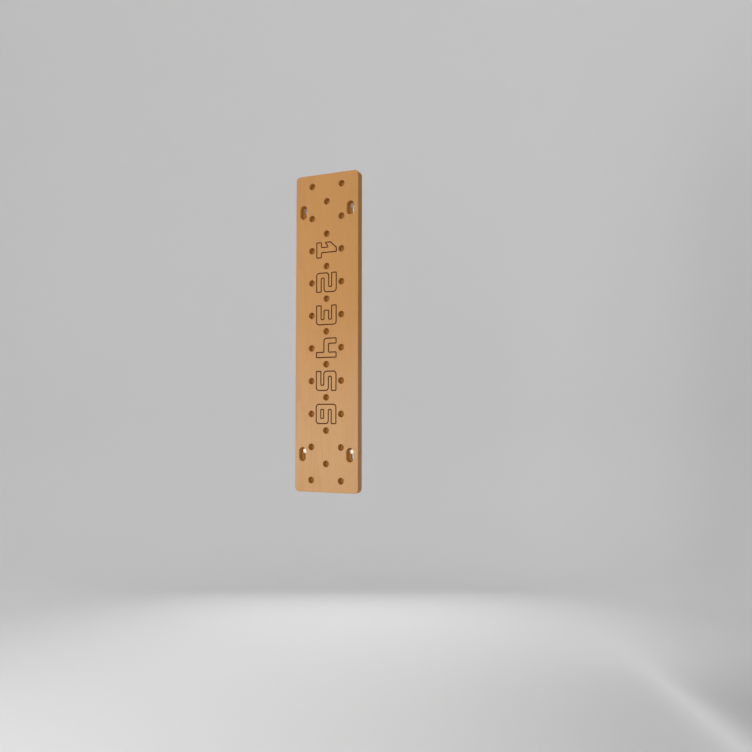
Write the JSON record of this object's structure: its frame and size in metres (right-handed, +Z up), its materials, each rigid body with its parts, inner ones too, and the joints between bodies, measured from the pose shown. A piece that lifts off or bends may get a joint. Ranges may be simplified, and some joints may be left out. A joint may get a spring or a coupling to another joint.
{
  "type": "climbing pegboard",
  "caption": "Tall wooden climbing board with staggered blind round holes for hand pegs and recessed slots with bolts, washers and lock nuts that clamp it to the beams of a rack.",
  "frame": {"origin": "centre of the board's flat back face, which lies against the rack's beams", "axes": "+Z up along the board's length, +Y out of its back towards the beams, +X to the right as seen from the front; pegs go in along +Y from the front"},
  "size_m": [0.3, 0.1069, 1.37],
  "materials": {
    "oiled_beech": "fine sanded and oiled, even tan",
    "zinc_plated_steel": "bright zinc plating",
    "nylon": "natural nylon"
  },
  "bodies": {
    "board": {"board": "oiled_beech"},
    "fixing_top_left": {"bolt_top_left": "zinc_plated_steel", "head_washer_top_left": "zinc_plated_steel", "rear_washer_top_left": "zinc_plated_steel", "lock_nut_top_left": "zinc_plated_steel", "nylon_ring_top_left": "nylon"},
    "fixing_top_right": {"bolt_top_right": "zinc_plated_steel", "head_washer_top_right": "zinc_plated_steel", "rear_washer_top_right": "zinc_plated_steel", "lock_nut_top_right": "zinc_plated_steel", "nylon_ring_top_right": "nylon"},
    "fixing_bottom_left": {"bolt_bottom_left": "zinc_plated_steel", "head_washer_bottom_left": "zinc_plated_steel", "rear_washer_bottom_left": "zinc_plated_steel", "lock_nut_bottom_left": "zinc_plated_steel", "nylon_ring_bottom_left": "nylon"},
    "fixing_bottom_right": {"bolt_bottom_right": "zinc_plated_steel", "head_washer_bottom_right": "zinc_plated_steel", "rear_washer_bottom_right": "zinc_plated_steel", "lock_nut_bottom_right": "zinc_plated_steel", "nylon_ring_bottom_right": "nylon"}
  },
  "joints": [
    {"name": "slot_slide_top_left", "type": "slide", "parent": "board", "child": "fixing_top_left", "axis": [0, 0, 1], "range_m": [-0.0279, 0]},
    {"name": "slot_slide_top_right", "type": "slide", "parent": "board", "child": "fixing_top_right", "axis": [0, 0, 1], "range_m": [-0.0279, 0]},
    {"name": "slot_slide_bottom_left", "type": "slide", "parent": "board", "child": "fixing_bottom_left", "axis": [0, 0, 1], "range_m": [-0.0279, 0]},
    {"name": "slot_slide_bottom_right", "type": "slide", "parent": "board", "child": "fixing_bottom_right", "axis": [0, 0, 1], "range_m": [-0.0279, 0]}
  ]
}
